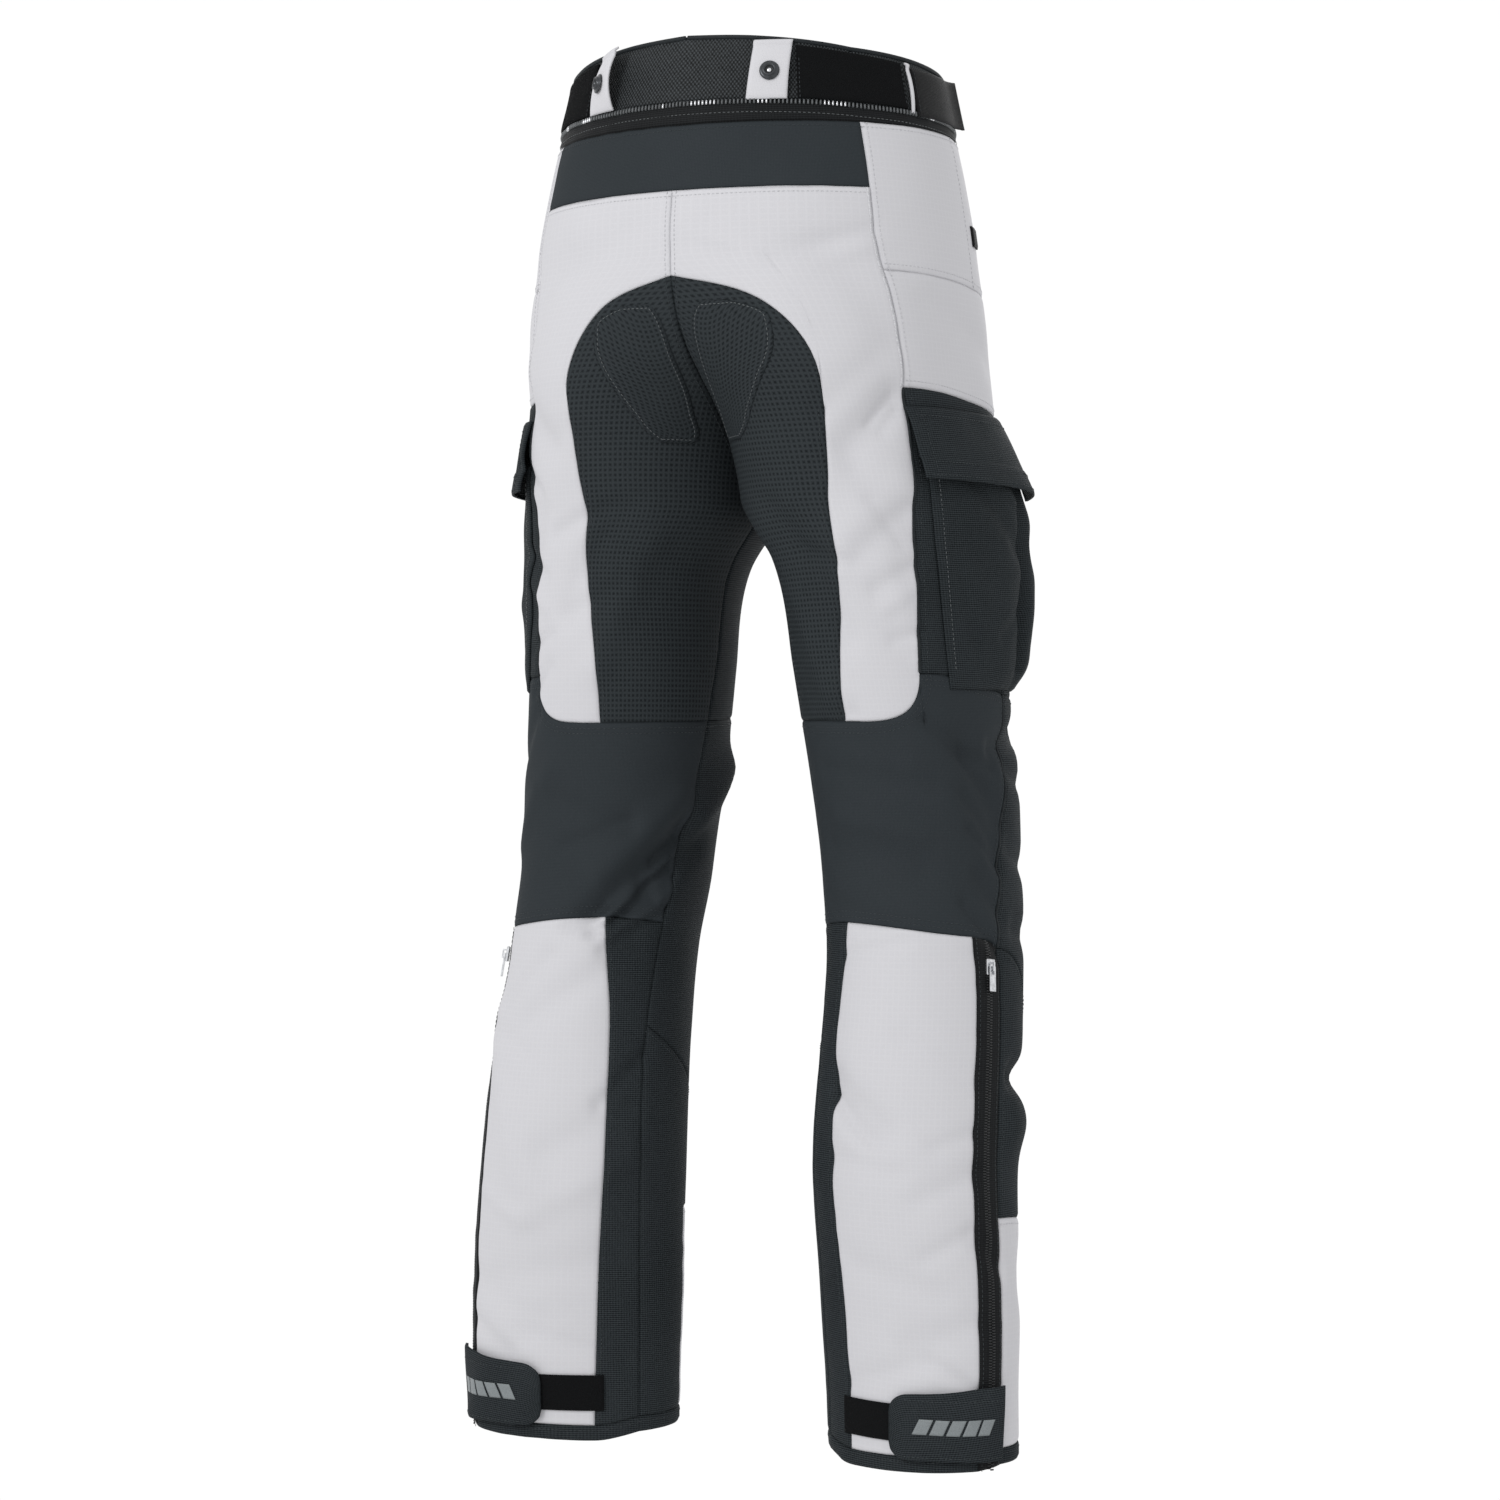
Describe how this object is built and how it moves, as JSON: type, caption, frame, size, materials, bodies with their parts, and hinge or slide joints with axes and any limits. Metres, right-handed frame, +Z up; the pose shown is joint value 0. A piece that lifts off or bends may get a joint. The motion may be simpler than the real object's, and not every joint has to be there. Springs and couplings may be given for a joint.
{
  "type": "motorcycle trousers",
  "caption": "Padded textile riding trousers in light grey and dark cloth, worn shape without a wearer, with cargo pockets, leg zips, waist straps and hem straps.",
  "frame": {"origin": "middle of the waist, level with the zip at the foot of the waistband", "axes": "+Z up the body, -Y to the wearer's front, +X to the wearer's left"},
  "size_m": [0.4628, 0.2822, 1.0756],
  "materials": {
    "light_nylon": "light grey woven ripstop nylon, dull sheen",
    "dark_ripstop": "dark green-grey ripstop with a raised grid, matte",
    "dark_cordura": "dark green-grey coarse ribbed nylon, matte",
    "dark_stretch": "dark smooth stretch cloth, matte",
    "waist_mesh": "black spacer mesh",
    "black_webbing": "black woven strap",
    "hook_and_loop": "black hook-and-loop pile",
    "zip_tape": "black woven tape with zip teeth",
    "zip_metal": "plated zinc, silver",
    "stud_metal": "dark enamelled press stud"
  },
  "bodies": {
    "trousers": {"waistband_mesh": "waist_mesh", "waist_zip": "zip_tape", "yoke": "dark_stretch", "fly": "light_nylon", "waistband_front_left": "waist_mesh", "waistband_front_right": "waist_mesh", "waist_pad_left": "hook_and_loop", "waist_pad_right": "hook_and_loop", "waist_strap_left": "black_webbing", "waist_strap_right": "black_webbing", "loop_back_left": "light_nylon", "loop_back_right": "light_nylon", "loop_side_left": "light_nylon", "loop_side_right": "light_nylon", "loop_stud_left": "stud_metal", "loop_stud_right": "stud_metal", "back_panel_left": "light_nylon", "back_panel_right": "light_nylon", "seat_panel_left": "dark_ripstop", "seat_panel_right": "dark_ripstop", "seat_pad_left": "dark_ripstop", "seat_pad_right": "dark_ripstop", "hip_upper_left": "light_nylon", "hip_upper_right": "light_nylon", "hip_lower_left": "light_nylon", "hip_lower_right": "light_nylon", "pocket_tab_left": "black_webbing", "pocket_tab_right": "black_webbing", "pocket_side_left": "dark_cordura", "pocket_side_right": "dark_cordura", "pocket_bag_left": "dark_cordura", "pocket_bag_right": "dark_cordura", "pocket_flap_left": "dark_cordura", "pocket_flap_right": "dark_cordura", "front_thigh_left": "dark_cordura", "front_thigh_right": "dark_cordura", "knee_front_left": "dark_cordura", "knee_front_right": "dark_cordura", "shin_upper_left": "dark_cordura", "shin_upper_right": "dark_cordura", "shin_lower_left": "light_nylon", "shin_lower_right": "light_nylon", "knee_back_left": "dark_stretch", "knee_back_right": "dark_stretch", "calf_left": "light_nylon", "calf_right": "light_nylon", "inner_leg_left": "dark_cordura", "inner_leg_right": "dark_cordura", "side_zip_left": "zip_tape", "side_zip_right": "zip_tape", "zip_slider_left": "zip_metal", "zip_slider_right": "zip_metal", "hem_band_left": "dark_cordura", "hem_band_right": "dark_cordura", "hem_pad_left": "hook_and_loop", "hem_pad_right": "hook_and_loop", "hem_strap_left": "dark_cordura", "hem_strap_right": "dark_cordura"},
    "left_pull": {"zip_pull_left": "zip_metal"},
    "right_pull": {"zip_pull_right": "zip_metal"}
  },
  "joints": [
    {"name": "left_pull_hinge", "type": "hinge", "parent": "trousers", "child": "left_pull", "pos_m": [0.20924, 0.03383, -0.64742], "axis": [0.4253, -0.8976, -0.1161], "range_deg": [0, 165]},
    {"name": "right_pull_hinge", "type": "hinge", "parent": "trousers", "child": "right_pull", "pos_m": [-0.21122, 0.0224, -0.6475], "axis": [0.3606, 0.9256, 0.1153], "range_deg": [0, 165]}
  ]
}
